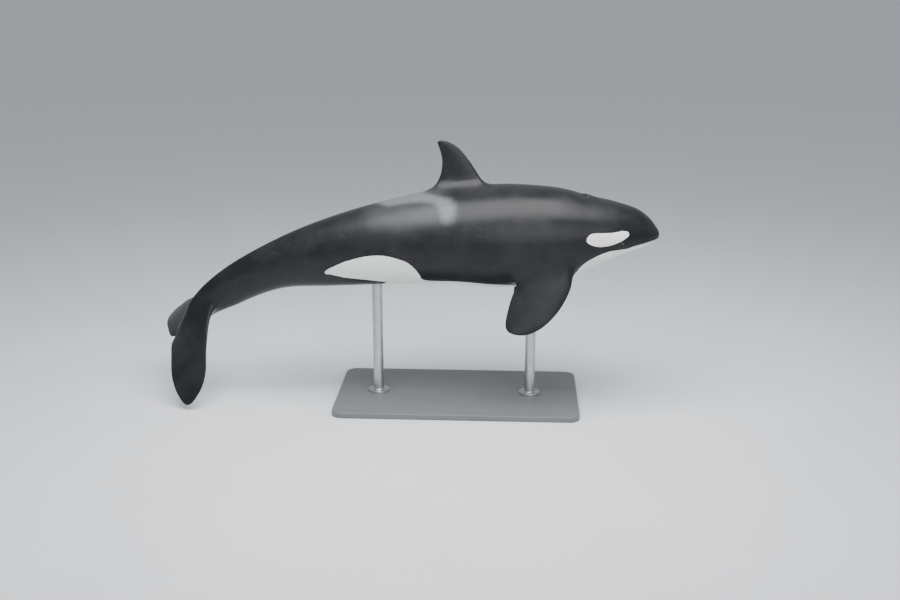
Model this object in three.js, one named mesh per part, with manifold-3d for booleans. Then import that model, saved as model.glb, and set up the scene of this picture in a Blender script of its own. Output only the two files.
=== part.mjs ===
// A killer whale, life size, swimming with its tail drawn down and rolled to the right, held by a plain stand.
// Millimetres. +X runs towards the snout, +Y to the animal's left and +Z up. The origin is on the floor,
// under the middle of the whole. The animal is made straight first, with its snout tip at x = 0 and its tail
// along -X, and bend() then lays it along the curved spine.

import * as THREE from "three";
import { ParametricGeometry } from "three/addons/geometries/ParametricGeometry.js";
import { mergeVertices } from "three/addons/utils/BufferGeometryUtils.js";
import Module from "manifold-3d";

const wasm = await Module();
wasm.setup();

// Driving sizes. Everything on the animal is a share of its body length.
const BODY_LENGTH = 5600; // snout tip to fluke notch, along the body
const GAP = 0.3; // between two pieces that touch
const FLOOR_CLEARANCE = 60; // under the lower fluke tip

// Outline of the body, from the snout tip to the end of the stock that is sunk in the flukes: the distance
// along the spine, the height of the back over it, the depth of the belly under it and the half width.
const OUTLINE = [
  { at: 0.0, back: 0.0, belly: 0.0, half: 0.0 },
  { at: 0.006, back: 0.0145, belly: 0.009, half: 0.0155 },
  { at: 0.02, back: 0.032, belly: 0.0165, half: 0.029 },
  { at: 0.04, back: 0.047, belly: 0.0255, half: 0.041 },
  { at: 0.08, back: 0.061, belly: 0.039, half: 0.057 },
  { at: 0.13, back: 0.0735, belly: 0.0625, half: 0.071 },
  { at: 0.2, back: 0.09, belly: 0.094, half: 0.086 },
  { at: 0.3, back: 0.097, belly: 0.0965, half: 0.095 },
  { at: 0.4, back: 0.093, belly: 0.086, half: 0.09 },
  { at: 0.52, back: 0.0775, belly: 0.0775, half: 0.074 },
  { at: 0.64, back: 0.0595, belly: 0.0665, half: 0.052 },
  { at: 0.74, back: 0.0465, belly: 0.0495, half: 0.0335 },
  { at: 0.84, back: 0.0375, belly: 0.044, half: 0.0205 },
  { at: 0.9, back: 0.0285, belly: 0.028, half: 0.0175 },
  { at: 0.935, back: 0.0175, belly: 0.017, half: 0.0145 },
  { at: 0.965, back: 0.0085, belly: 0.0085, half: 0.009 },
  { at: 0.972, back: 0.0, belly: 0.0, half: 0.0 },
];

// How the spine falls from level, in degrees, and how far the tail is rolled, its right side down.
const PITCH = {
  at: [0, 0.12, 0.3, 0.45, 0.58, 0.68, 0.78, 0.86, 0.92, 1.05],
  deg: [1, 1, 2.5, 5.5, 9.5, 16, 25.5, 36, 48.5, 25],
};
const TAIL_ROLL = { from: 0.5, to: 0.95, deg: 30 };

// The stock of the tail is pressed flat from side to side, with a keel above and below.
const KEEL = { from: 0.55, full: 0.82, fades: 0.88, gone: 0.95, sharpness: 0.42 };

// The jaws are fuller at the sides than an oval.
const JOWL = { full: 0.05, gone: 0.2, fullness: 0.2 };

// Edges of the fins, from the root, which is sunk in what it grows from, to the tip.
const DORSAL = {
  lead: [
    [0.296, 0.07], [0.3165, 0.0955], [0.331, 0.117], [0.346, 0.143],
    [0.3635, 0.168], [0.38, 0.1805], [0.3925, 0.184], [0.3995, 0.181],
  ],
  trail: [
    [0.446, 0.07], [0.427, 0.0925], [0.4095, 0.1035], [0.3985, 0.121],
    [0.394, 0.1425], [0.3948, 0.159], [0.398, 0.1735], [0.3995, 0.181],
  ],
  rootThickness: 0.017,
  tipThickness: 0.004,
};
const FLUKE = {
  lead: [
    [0.845, 0.0], [0.868, 0.019], [0.898, 0.046], [0.935, 0.087], [0.958, 0.117], [0.981, 0.135], [1.006, 0.1415],
  ],
  trail: [[0.984, 0.0], [0.9955, 0.013], [1.0025, 0.042], [1.0115, 0.08], [1.013, 0.115], [1.006, 0.1415]],
  rootThickness: 0.025,
  tipThickness: 0.0035,
  droop: 0.045, // how far the tips are bent down
};
// The flipper's edges run along its own span and across it, from the shoulder. The left one is held a little
// further forward than the right one.
const FLIPPER = {
  shoulder: { at: 0.207, out: 0.069, down: 0.058 },
  span: { left: new THREE.Vector3(-0.35, 0.27, -0.9), right: new THREE.Vector3(-0.492, -0.25, -0.834) },
  lead: [
    [-0.06, 0.02], [-0.03, 0.037], [0.0, 0.0475], [0.03, 0.0505], [0.06, 0.0475],
    [0.09, 0.038], [0.1125, 0.023], [0.125, 0.006], [0.1295, -0.011],
  ],
  trail: [
    [-0.06, -0.02], [-0.03, -0.033], [0.006, -0.0405], [0.04, -0.0425], [0.072, -0.0395],
    [0.1, -0.0335], [0.116, -0.0285], [0.126, -0.022], [0.1295, -0.011],
  ],
  rootThickness: 0.024,
  tipThickness: 0.004,
};

// Where the whole body is parted, as shares of its length.
const PARTINGS = [0.15, 0.3, 0.6, 0.8];
const PARTS = ["head", "thorax", "abdomen", "tail_base", "tail_stock"];

// The mouth runs level from under the snout tip to its corner, below the eye.
const MOUTH = { front: 0.0045, corner: 0.066, cornerDown: 0.0168, throat: 0.105, throatDown: 0.09 };
const MOUTH_GROOVE = 9; // radius of the line of the mouth
const LIP = { radius: 17, aside: 16, upperSunk: 9, lowerSunk: 14 };

const EYE = { at: 0.0705, angle: -11, radius: 28, sunk: 20 };
const EYELID = { radius: 31, tube: 10, longer: 1.2, lower: 0.78, sunk: 3 };
const BLOWHOLE = { at: 0.128, radius: 58, groove: 8, rim: 20, rimSunk: 15, spread: 150 };

const STAND = {
  base: { length: 2600, width: 1400, height: 60, corner: 120, bevel: 8, middle: 0.375 },
  rod: { radius: 55, sides: 24, front: 0.235, rear: 0.53 },
  foot: { radius: 115, height: 20, bevel: 5 },
};

const MATERIALS = {
  black: new THREE.MeshStandardMaterial({ color: 0x0b0d10, roughness: 0.35, metalness: 0 }),
  white: new THREE.MeshStandardMaterial({ color: 0xe6eaea, roughness: 0.38, metalness: 0 }),
  eye: new THREE.MeshStandardMaterial({ color: 0x120d0a, roughness: 0.08, metalness: 0 }),
  stand: new THREE.MeshStandardMaterial({ color: 0x44484c, roughness: 0.55, metalness: 0.6 }),
};

// Smooth steps and curves

function smoothStep(from, to, x) {
  return THREE.MathUtils.smoothstep(x, from, to);
}

// A curve through (keys, values) that never overshoots them.
function monotone(keys, values, x) {
  const last = keys.length - 1;
  const q = THREE.MathUtils.clamp(x, keys[0], keys[last]);
  const slope = (i) => (values[i + 1] - values[i]) / (keys[i + 1] - keys[i]);
  const tangent = (i) => {
    if (i === 0) return slope(0);
    if (i === last) return slope(last - 1);
    const [before, after] = [slope(i - 1), slope(i)];
    if (before * after <= 0) return 0;
    const [h0, h1] = [keys[i] - keys[i - 1], keys[i + 1] - keys[i]];
    const [w0, w1] = [2 * h1 + h0, h1 + 2 * h0];
    return (w0 + w1) / (w0 / before + w1 / after);
  };
  let i = 0;
  while (i < last - 1 && q >= keys[i + 1]) i += 1;
  const h = keys[i + 1] - keys[i];
  const t = (q - keys[i]) / h;
  const ease = t * t * (3 - 2 * t);
  return (
    values[i] * (1 - ease) + values[i + 1] * ease + h * t * (1 - t) * ((1 - t) * tangent(i) - t * tangent(i + 1))
  );
}

// The outline is read over the root of the distance, so that the snout is round.
const OUTLINE_KEYS = OUTLINE.map((o) => Math.sqrt(o.at));
function outline(at, name) {
  return monotone(OUTLINE_KEYS, OUTLINE.map((o) => o[name]), Math.sqrt(Math.max(at, 0)));
}

// The spine

const SPINE_STEP = 5;
const SPINE_END = 1.05;

function makeSpine() {
  const points = [new THREE.Vector3()];
  const angles = [];
  for (let s = 0; s <= SPINE_END * BODY_LENGTH; s += SPINE_STEP) {
    const pitch = THREE.MathUtils.degToRad(monotone(PITCH.at, PITCH.deg, s / BODY_LENGTH));
    angles.push(pitch);
    const ahead = new THREE.Vector3(-Math.cos(pitch), 0, -Math.sin(pitch));
    points.push(points[points.length - 1].clone().addScaledVector(ahead, SPINE_STEP));
  }
  return { points, angles };
}
const spine = makeSpine();

// Lays a point of the straight animal along the curved spine.
function bendPoint(p) {
  const s = THREE.MathUtils.clamp(-p.x, 0, (SPINE_END - 0.001) * BODY_LENGTH);
  const i = Math.floor(s / SPINE_STEP);
  const t = s / SPINE_STEP - i;
  const pitch = THREE.MathUtils.lerp(spine.angles[i], spine.angles[i + 1], t);
  const roll = THREE.MathUtils.degToRad(TAIL_ROLL.deg) * smoothStep(TAIL_ROLL.from, TAIL_ROLL.to, s / BODY_LENGTH);
  const up = new THREE.Vector3(-Math.sin(pitch), 0, Math.cos(pitch));
  const left = new THREE.Vector3(0, 1, 0);
  const rolledLeft = left.clone().multiplyScalar(Math.cos(roll)).addScaledVector(up, Math.sin(roll));
  const rolledUp = up.clone().multiplyScalar(Math.cos(roll)).addScaledVector(left, -Math.sin(roll));
  const past = -p.x - s; // what lies ahead of the snout tip or past the spine's end
  const ahead = new THREE.Vector3(-Math.cos(pitch), 0, -Math.sin(pitch));
  return spine.points[i]
    .clone()
    .lerp(spine.points[i + 1], t)
    .addScaledVector(ahead, past)
    .addScaledVector(rolledLeft, p.y)
    .addScaledVector(rolledUp, p.z);
}

// Solids

// A closed geometry as a solid, laid along the spine if it is part of the straight animal.
function solid(geometry, bent = true) {
  const bare = new THREE.BufferGeometry().setAttribute("position", geometry.getAttribute("position").clone());
  bare.setIndex(geometry.index);
  const merged = mergeVertices(bare, 0.01);
  const position = merged.getAttribute("position");
  const p = new THREE.Vector3();
  for (let i = 0; bent && i < position.count; i += 1) {
    const q = bendPoint(p.fromBufferAttribute(position, i));
    position.setXYZ(i, q.x, q.y, q.z);
  }
  const kept = [];
  const index = merged.index.array;
  for (let i = 0; i < index.length; i += 3) {
    const [a, b, c] = index.slice(i, i + 3);
    if (a !== b && b !== c && c !== a) kept.push(a, b, c);
  }
  const mesh = new wasm.Mesh({ numProp: 3, vertProperties: position.array, triVerts: new Uint32Array(kept) });
  const made = new wasm.Manifold(mesh);
  if (made.volume() > 0) return made;
  return new wasm.Manifold(new wasm.Mesh({ ...mesh, triVerts: new Uint32Array(kept).reverse() }));
}

function largest(body) {
  return body.decompose().sort((a, b) => b.volume() - a.volume())[0];
}

function fuse(pieces) {
  return pieces.reduce((all, piece) => all.add(piece));
}

// The body

// A point of the body's surface. around is 0 at its left side, 90 degrees at the back and -90 at the belly.
function skinPoint(at, around, grow = 0) {
  const [c, s] = [Math.cos(around), Math.sin(around)];
  const keel = smoothStep(KEEL.from, KEEL.full, at) * (1 - smoothStep(KEEL.fades, KEEL.gone, at));
  const jowl = (1 - smoothStep(JOWL.full, JOWL.gone, at)) * (1 - smoothStep(-0.2, 0.5, s));
  const across = Math.sign(c) * Math.abs(c) ** (1 + KEEL.sharpness * keel - JOWL.fullness * jowl);
  const height = outline(at, s > 0 ? "back" : "belly") * BODY_LENGTH + grow;
  return new THREE.Vector3(-at * BODY_LENGTH, (outline(at, "half") * BODY_LENGTH + grow) * across, height * s);
}

// The way out of the body at a point of its surface.
function skinNormal(at, around) {
  const step = 0.002;
  const lengthwise = skinPoint(at + step, around).sub(skinPoint(at - step, around));
  const roundwise = skinPoint(at, around + step).sub(skinPoint(at, around - step));
  return lengthwise.cross(roundwise).normalize();
}

const BODY_RINGS = 60;
const BODY_SIDES = 40;
const BODY_END = OUTLINE[OUTLINE.length - 1].at;

// Where a ring of the body lies, for v from 0 to 1. The rings are close at both ends, most of all at the snout.
function ringAt(v) {
  const crowded = v - (0.8 * Math.sin(2 * Math.PI * v)) / (2 * Math.PI);
  return BODY_END * crowded ** 1.5;
}

function wholeBody(grow = 0) {
  return solid(
    new ParametricGeometry(
      (u, v, target) => {
        const closed = v === 0 || v === 1; // both ends close in a point
        if (closed) target.set(-ringAt(v) * BODY_LENGTH, 0, 0);
        else target.copy(skinPoint(ringAt(v), u * 2 * Math.PI, grow));
      },
      BODY_SIDES,
      BODY_RINGS,
    ),
  );
}

// Fins

const FIN_SIDES = 20;
const FIN_RINGS = 16;
const TIP_FULLNESS = 0.3; // the most that a section's thickness may be of its width

// Half the thickness of a section with a thickness of 1, from its front edge at 0 to its back edge at 1.
// The first term is a drop with a blunt front, and the second rounds the back edge.
function sectionShape(u) {
  return 1.225 * Math.sqrt(u) * (1 - u) + 0.06 * Math.sqrt(u * (1 - u));
}

// A fin between two edges, with a flat root. place(along, across, thick) puts a point of its plane on the animal.
function fin({ lead, trail, rootThickness, tipThickness }, place) {
  const edge = (points) => new THREE.SplineCurve(points.map(([x, y]) => new THREE.Vector2(x, y)));
  const [front, back] = [edge(lead), edge(trail)];
  return solid(
    new ParametricGeometry(
      (u, v, target) => {
        const beyondRoot = Math.max(v * FIN_RINGS - 1, 0) / (FIN_RINGS - 1); // the first ring closes the root
        const out = 1 - (1 - beyondRoot) ** 1.4; // rings lie closer near the tip
        const closed = v === 0 || v === 1;
        const chord = closed ? 0.5 : (1 - Math.cos(2 * Math.PI * u)) / 2;
        const p = front.getPoint(out).lerp(back.getPoint(out), chord);
        const width = front.getPoint(out).distanceTo(back.getPoint(out));
        const thinned = THREE.MathUtils.lerp(rootThickness, tipThickness, Math.sin((out * Math.PI) / 2));
        const thick = Math.min(thinned, TIP_FULLNESS * width);
        const side = closed ? 0 : Math.sign(0.5 - u) * sectionShape(chord);
        target.copy(place(p.x, p.y, side * thick));
      },
      FIN_SIDES,
      FIN_RINGS,
    ),
  );
}

function dorsalFin() {
  return fin(DORSAL, (at, height, thick) => new THREE.Vector3(-at, thick, height).multiplyScalar(BODY_LENGTH));
}

function flipper(side) {
  const { at, out, down } = FLIPPER.shoulder;
  const span = FLIPPER.span[side > 0 ? "left" : "right"].clone().normalize();
  const chord = new THREE.Vector3(1, 0, 0).addScaledVector(span, -span.x).normalize();
  const face = span.clone().cross(chord);
  return fin(FLIPPER, (along, across, thick) =>
    new THREE.Vector3(-at, side * out, -down)
      .addScaledVector(span, along)
      .addScaledVector(chord, across)
      .addScaledVector(face, thick)
      .multiplyScalar(BODY_LENGTH),
  );
}

function fluke(side) {
  const halfSpan = FLUKE.lead[FLUKE.lead.length - 1][1];
  return fin(FLUKE, (at, across, thick) => {
    const sag = FLUKE.droop * (across / halfSpan) ** 2;
    const p = new THREE.Vector3(-at, side * across, thick - sag).multiplyScalar(BODY_LENGTH);
    p.y += (side * GAP) / 2;
    return p;
  });
}

// The head's features

function mouthDown(at) {
  const t = (at - MOUTH.front) / (MOUTH.corner - MOUTH.front);
  return THREE.MathUtils.lerp(outline(MOUTH.front, "belly"), MOUTH.cornerDown, t ** 1.3 || 0);
}

// A point on the line of the mouth, from its left corner at -1 round the snout to the right one at 1.
function mouthPoint(t) {
  const at = MOUTH.front + (MOUTH.corner - MOUTH.front) * (1 - Math.cos((t * Math.PI) / 2));
  const sine = Math.min(mouthDown(at) / outline(at, "belly"), 1);
  const around = t < 0 ? -Math.asin(sine) : Math.asin(sine) - Math.PI;
  return { at, around };
}

// A round strip along the line of the mouth. aside moves it up the head, and sunk into it.
function mouthStrip(radius, aside, sunk) {
  const steps = 28;
  const path = [];
  for (let i = -steps / 2; i <= steps / 2; i += 1) {
    const { at, around } = mouthPoint((2 * i) / steps);
    const p = skinPoint(at, around).addScaledVector(skinNormal(at, around), -sunk);
    path.push(new THREE.Vector3(p.x, p.y, p.z + aside));
  }
  return solid(tube(path, radius, 8));
}

// A closed round strip through the points, with pointed ends.
function tube(points, radius, sides) {
  const curve = new THREE.CatmullRomCurve3(points);
  const steps = points.length - 1;
  const frames = curve.computeFrenetFrames(steps, false);
  return new ParametricGeometry(
    (u, v, target) => {
      const i = Math.round(v * steps);
      const end = i === 0 || i === steps;
      const angle = u * 2 * Math.PI;
      target.copy(curve.getPointAt(v));
      if (end) return;
      target.addScaledVector(frames.normals[i], radius * Math.cos(angle));
      target.addScaledVector(frames.binormals[i], radius * Math.sin(angle));
    },
    sides,
    steps,
  );
}

// What lies below the mouth and ahead of the throat, from a given distance below the line.
function jawBlock(lower) {
  const halfWidth = 0.12 * BODY_LENGTH;
  const shape = new THREE.Shape();
  const steps = 12;
  shape.moveTo(-0.02 * BODY_LENGTH, -MOUTH.throatDown * BODY_LENGTH);
  shape.lineTo(-0.02 * BODY_LENGTH, -mouthDown(MOUTH.front) * BODY_LENGTH - lower);
  for (let i = 0; i <= steps; i += 1) {
    const at = MOUTH.front + ((MOUTH.corner - MOUTH.front) * i) / steps;
    shape.lineTo(at * BODY_LENGTH - lower, -mouthDown(at) * BODY_LENGTH - lower);
  }
  shape.lineTo(MOUTH.throat * BODY_LENGTH - lower, -MOUTH.throatDown * BODY_LENGTH);
  const block = new THREE.ExtrudeGeometry(shape, { depth: 2 * halfWidth, bevelEnabled: false });
  block.rotateX(Math.PI / 2); // the shape's Y turns up and its depth across
  block.translate(0, halfWidth, 0);
  block.scale(-1, 1, 1);
  return solid(block);
}

// A frame that stands on the skin: Z out of it, X towards the snout.
function onSkin(at, around, out) {
  const z = skinNormal(at, around);
  const x = new THREE.Vector3(1, 0, 0).addScaledVector(z, -z.x).normalize();
  const y = z.clone().cross(x);
  const place = skinPoint(at, around).addScaledVector(z, out);
  return new THREE.Matrix4().makeBasis(x, y, z).setPosition(place);
}

function eyeAround(side) {
  const angle = THREE.MathUtils.degToRad(EYE.angle);
  return side > 0 ? angle : Math.PI - angle;
}

function eyeball(side, grow = 0) {
  const ball = new THREE.SphereGeometry(EYE.radius + grow, 18, 12);
  return solid(ball.applyMatrix4(onSkin(EYE.at, eyeAround(side), -EYE.sunk)));
}

function eyelids(side) {
  const ring = new THREE.TorusGeometry(EYELID.radius, EYELID.tube, 8, 20);
  ring.scale(EYELID.longer, EYELID.lower, 1);
  return solid(ring.applyMatrix4(onSkin(EYE.at, eyeAround(side), -EYELID.sunk)));
}

// The blowhole is a crescent whose horns point to the snout.
function blowholeArc(tubeRadius, out) {
  const arc = THREE.MathUtils.degToRad(BLOWHOLE.spread);
  const points = [];
  for (let i = 0; i <= 12; i += 1) {
    const angle = Math.PI + arc * (i / 12 - 0.5);
    points.push(new THREE.Vector3(Math.cos(angle), Math.sin(angle), 0).multiplyScalar(BLOWHOLE.radius));
  }
  const strip = tube(points, tubeRadius, 8);
  return solid(strip.applyMatrix4(onSkin(BLOWHOLE.at, Math.PI / 2, out)));
}

// Putting the animal together

// Thin cuts across the body.
function partings() {
  const wide = 0.4 * BODY_LENGTH;
  return PARTINGS.map((at) => {
    const slab = new THREE.BoxGeometry(GAP, wide, wide);
    slab.translate(-at * BODY_LENGTH, 0, 0);
    return solid(slab);
  });
}

function addHeadForms(head) {
  const sides = [1, -1];
  return head
    .add(mouthStrip(LIP.radius, LIP.aside, LIP.upperSunk))
    .add(blowholeArc(BLOWHOLE.rim, -BLOWHOLE.rimSunk))
    .add(fuse(sides.map(eyelids)))
    .subtract(fuse(sides.map((side) => eyeball(side, GAP))))
    .subtract(blowholeArc(BLOWHOLE.groove, 0))
    .subtract(mouthStrip(MOUTH_GROOVE, 0, 0));
}

function addJawForms(jaw) {
  const lip = mouthStrip(LIP.radius, -LIP.aside, LIP.lowerSunk);
  const clear = jawBlock(GAP);
  return jaw.add(lip.intersect(clear)).subtract(mouthStrip(MOUTH_GROOVE, 0, 0));
}

function makeAnimal() {
  const body = wholeBody();
  const clear = wholeBody(GAP);
  const lengths = body
    .subtract(fuse(partings()))
    .decompose()
    .sort((a, b) => b.boundingBox().max[0] - a.boundingBox().max[0]);
  const nodes = Object.fromEntries(PARTS.map((name, i) => [name, lengths[i]]));
  const whole = nodes.head;
  nodes.lower_jaw = largest(addJawForms(whole.intersect(jawBlock(GAP))));
  nodes.head = largest(addHeadForms(whole.subtract(jawBlock(0))).subtract(jawBlock(0)));
  nodes.eye_left = eyeball(1);
  nodes.eye_right = eyeball(-1);
  nodes.dorsal_fin = largest(dorsalFin().subtract(clear));
  nodes.pectoral_fin_left = largest(flipper(1).subtract(clear));
  nodes.pectoral_fin_right = largest(flipper(-1).subtract(clear));
  nodes.fluke_left = largest(fluke(1).subtract(clear));
  nodes.fluke_right = largest(fluke(-1).subtract(clear));
  return { nodes, clear };
}

// The stand

function standBase(middleX, top) {
  const { length, width, height, corner, bevel } = STAND.base;
  const [x, y] = [length / 2, width / 2];
  const shape = new THREE.Shape();
  shape.moveTo(-x + corner, -y);
  shape.lineTo(x - corner, -y).absarc(x - corner, -y + corner, corner, -Math.PI / 2, 0);
  shape.lineTo(x, y - corner).absarc(x - corner, y - corner, corner, 0, Math.PI / 2);
  shape.lineTo(-x + corner, y).absarc(-x + corner, y - corner, corner, Math.PI / 2, Math.PI);
  shape.lineTo(-x, -y + corner).absarc(-x + corner, -y + corner, corner, Math.PI, 1.5 * Math.PI);
  const bevels = { bevelThickness: bevel, bevelSize: bevel, bevelOffset: -bevel, bevelSegments: 1 };
  const plate = new THREE.ExtrudeGeometry(shape, { depth: height - 2 * bevel, curveSegments: 8, ...bevels });
  plate.translate(middleX, 0, top - height + bevel);
  return solid(plate, false);
}

// A rod with a round foot, from the base up into the belly, cut off where it meets the skin.
function standRod(at, floor, clear) {
  const { rod, foot } = STAND;
  const low = floor + STAND.base.height + GAP;
  const spot = bendPoint(new THREE.Vector3(-at * BODY_LENGTH, 0, 0));
  const profile = [
    [0, 0],
    [foot.radius, 0],
    [foot.radius, foot.height - foot.bevel],
    [foot.radius - foot.bevel, foot.height],
    [rod.radius, foot.height],
    [rod.radius, spot.z - low],
    [0, spot.z - low],
  ];
  const shape = new THREE.LatheGeometry(profile.map(([x, y]) => new THREE.Vector2(x, y)), rod.sides);
  shape.rotateX(Math.PI / 2);
  shape.translate(spot.x, 0, low);
  return largest(solid(shape, false).subtract(clear));
}

const SLOTS = {
  lower_jaw: "white",
  eye_left: "eye",
  eye_right: "eye",
  stand_base: "stand",
  stand_rod_front: "stand",
  stand_rod_rear: "stand",
};

function meshOf(name, manifold) {
  const { vertProperties, triVerts } = manifold.getMesh();
  const geometry = new THREE.BufferGeometry();
  geometry.setAttribute("position", new THREE.BufferAttribute(vertProperties, 3));
  geometry.setIndex(new THREE.BufferAttribute(triVerts, 1));
  geometry.computeVertexNormals();
  const mesh = new THREE.Mesh(geometry, MATERIALS[SLOTS[name] ?? "black"]);
  mesh.name = name;
  return mesh;
}

function makeWhale() {
  const { nodes, clear } = makeAnimal();
  const lowest = Math.min(...Object.values(nodes).map((node) => node.boundingBox().min[2]));
  const floor = lowest - FLOOR_CLEARANCE;
  const middleX = bendPoint(new THREE.Vector3(-STAND.base.middle * BODY_LENGTH, 0, 0)).x;
  nodes.stand_base = standBase(middleX, floor + STAND.base.height);
  nodes.stand_rod_front = standRod(STAND.rod.front, floor, clear);
  nodes.stand_rod_rear = standRod(STAND.rod.rear, floor, clear);

  const group = new THREE.Group();
  for (const [name, node] of Object.entries(nodes)) group.add(meshOf(name, node));
  const middle = new THREE.Box3().setFromObject(group).getCenter(new THREE.Vector3());
  group.position.set(-middle.x, -middle.y, -floor);
  return group;
}

export default makeWhale();
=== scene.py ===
"""The looks of a life-size orca on its display stand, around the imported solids.

Metres. +X runs towards the snout, +Y to the animal's left and +Z up, as in the solids. The skin is made
on the straight animal, with its snout tip at the origin and its tail along -X, and bend() lays it along
the curved spine.
"""

import math

import bmesh
import bpy
import numpy as np
from mathutils import Matrix, Vector
from mathutils.bvhtree import BVHTree
from mathutils.kdtree import KDTree


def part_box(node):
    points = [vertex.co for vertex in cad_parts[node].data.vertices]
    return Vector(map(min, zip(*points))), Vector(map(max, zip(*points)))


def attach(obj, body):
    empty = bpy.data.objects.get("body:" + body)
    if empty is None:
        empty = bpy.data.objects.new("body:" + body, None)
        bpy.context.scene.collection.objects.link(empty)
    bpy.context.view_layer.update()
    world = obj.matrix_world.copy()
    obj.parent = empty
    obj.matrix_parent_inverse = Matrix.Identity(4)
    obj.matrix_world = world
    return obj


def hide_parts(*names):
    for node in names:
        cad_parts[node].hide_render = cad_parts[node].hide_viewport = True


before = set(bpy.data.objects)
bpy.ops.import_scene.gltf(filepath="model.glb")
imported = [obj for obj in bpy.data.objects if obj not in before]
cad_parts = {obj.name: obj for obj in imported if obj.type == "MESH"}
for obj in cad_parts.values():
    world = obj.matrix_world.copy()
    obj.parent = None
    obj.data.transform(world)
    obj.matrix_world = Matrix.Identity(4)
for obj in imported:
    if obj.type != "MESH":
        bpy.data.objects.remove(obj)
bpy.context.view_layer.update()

# Driving sizes, the same as the solids'. Everything on the animal is a share of its body length.
LENGTH = 5.6  # snout tip to fluke notch, along the body
LEFT, RIGHT = 1, -1
SIDES = (LEFT, RIGHT)

# Distance along the spine, height of the back over it, depth of the belly under it, half width.
OUTLINE = np.array([
    (0.0, 0.0, 0.0, 0.0),
    (0.006, 0.0145, 0.009, 0.0155),
    (0.02, 0.032, 0.0165, 0.029),
    (0.04, 0.047, 0.0255, 0.041),
    (0.08, 0.061, 0.039, 0.057),
    (0.13, 0.0735, 0.0625, 0.071),
    (0.2, 0.09, 0.094, 0.086),
    (0.3, 0.097, 0.0965, 0.095),
    (0.4, 0.093, 0.086, 0.09),
    (0.52, 0.0775, 0.0775, 0.074),
    (0.64, 0.0595, 0.0665, 0.052),
    (0.74, 0.0465, 0.0495, 0.0335),
    (0.84, 0.0375, 0.044, 0.0205),
    (0.9, 0.0285, 0.028, 0.0175),
    (0.935, 0.0175, 0.017, 0.0145),
    (0.965, 0.0085, 0.0085, 0.009),
    (0.972, 0.0, 0.0, 0.0),
])
BACK, BELLY, HALF = 1, 2, 3
BODY_END = OUTLINE[-1, 0]

# How the spine falls from level, in degrees, and how far the tail is rolled, its right side down.
PITCH_AT = (0, 0.12, 0.3, 0.45, 0.58, 0.68, 0.78, 0.86, 0.92, 1.05)
PITCH_DEG = (1, 1, 2.5, 5.5, 9.5, 16, 25.5, 36, 48.5, 25)
ROLL_FROM, ROLL_TO, ROLL_DEG = 0.5, 0.95, 30

KEEL_FROM, KEEL_FULL, KEEL_FADES, KEEL_GONE, KEEL_SHARPNESS = 0.55, 0.82, 0.88, 0.95, 0.42
JOWL_FULL, JOWL_GONE, JOWL_FULLNESS = 0.05, 0.2, 0.2

# Edges of the fins, from the root, which is sunk in the body, to the tip.
DORSAL = {
    "lead": [
        (0.296, 0.07), (0.3165, 0.0955), (0.331, 0.117), (0.346, 0.143),
        (0.3635, 0.168), (0.38, 0.1805), (0.3925, 0.184), (0.3995, 0.181),
    ],
    "trail": [
        (0.446, 0.07), (0.427, 0.0925), (0.4095, 0.1035), (0.3985, 0.121),
        (0.394, 0.1425), (0.3948, 0.159), (0.398, 0.1735), (0.3995, 0.181),
    ],
    "root": 0.017,
    "tip": 0.004,
}
FLUKE = {
    "lead": [
        (0.845, 0.0), (0.868, 0.019), (0.898, 0.046), (0.935, 0.087),
        (0.958, 0.117), (0.981, 0.135), (1.006, 0.1415),
    ],
    "trail": [
        (0.984, 0.0), (0.9955, 0.013), (1.0025, 0.042), (1.0115, 0.08), (1.013, 0.115), (1.006, 0.1415),
    ],
    "root": 0.025,
    "tip": 0.0035,
}
FLUKE_DROOP = 0.045  # how far the tips are bent down
FLUKE_HALF_SPAN = FLUKE["lead"][-1][1]

# The flipper's edges run along its own span and across it, from the shoulder. The left one is held a little
# further forward than the right one.
FLIPPER = {
    "lead": [
        (-0.06, 0.02), (-0.03, 0.037), (0.0, 0.0475), (0.03, 0.0505), (0.06, 0.0475),
        (0.09, 0.038), (0.1125, 0.023), (0.125, 0.006), (0.1295, -0.011),
    ],
    "trail": [
        (-0.06, -0.02), (-0.03, -0.033), (0.006, -0.0405), (0.04, -0.0425), (0.072, -0.0395),
        (0.1, -0.0335), (0.116, -0.0285), (0.126, -0.022), (0.1295, -0.011),
    ],
    "root": 0.024,
    "tip": 0.004,
}
SHOULDER_AT, SHOULDER_OUT, SHOULDER_DOWN = 0.207, 0.069, 0.058
FLIPPER_SPAN = {LEFT: np.array((-0.35, 0.27, -0.9)), RIGHT: np.array((-0.492, -0.25, -0.834))}
FIN_TIP_FULLNESS = 0.3  # the most that a fin section's thickness may be of its width

# The mouth, the eyes, the blowhole and the slits and the navel of the belly
MOUTH_FRONT, MOUTH_CORNER, MOUTH_CORNER_DOWN = 0.0045, 0.066, 0.0168
MOUTH_POINTS = 701
EYE_AT, EYE_ANGLE = 0.0705, math.radians(-11)
EYE_RADIUS, EYE_SUNK = 0.028, 0.02
EYE_SLIT = (0.0235, 0.0125)  # half the length and half the height of the opening between the lids
EYE_TILT = math.radians(-9)  # the front corner lies lower
LOWER_LID_SHARE = 0.9  # how far the opening reaches below its middle, for 1 above it
BLOWHOLE_AT, BLOWHOLE_RADIUS, BLOWHOLE_HALF_ARC = 0.128, 0.058, math.radians(75)
EAR_AT, EAR_ANGLE = 0.083, math.radians(-14)

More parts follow.
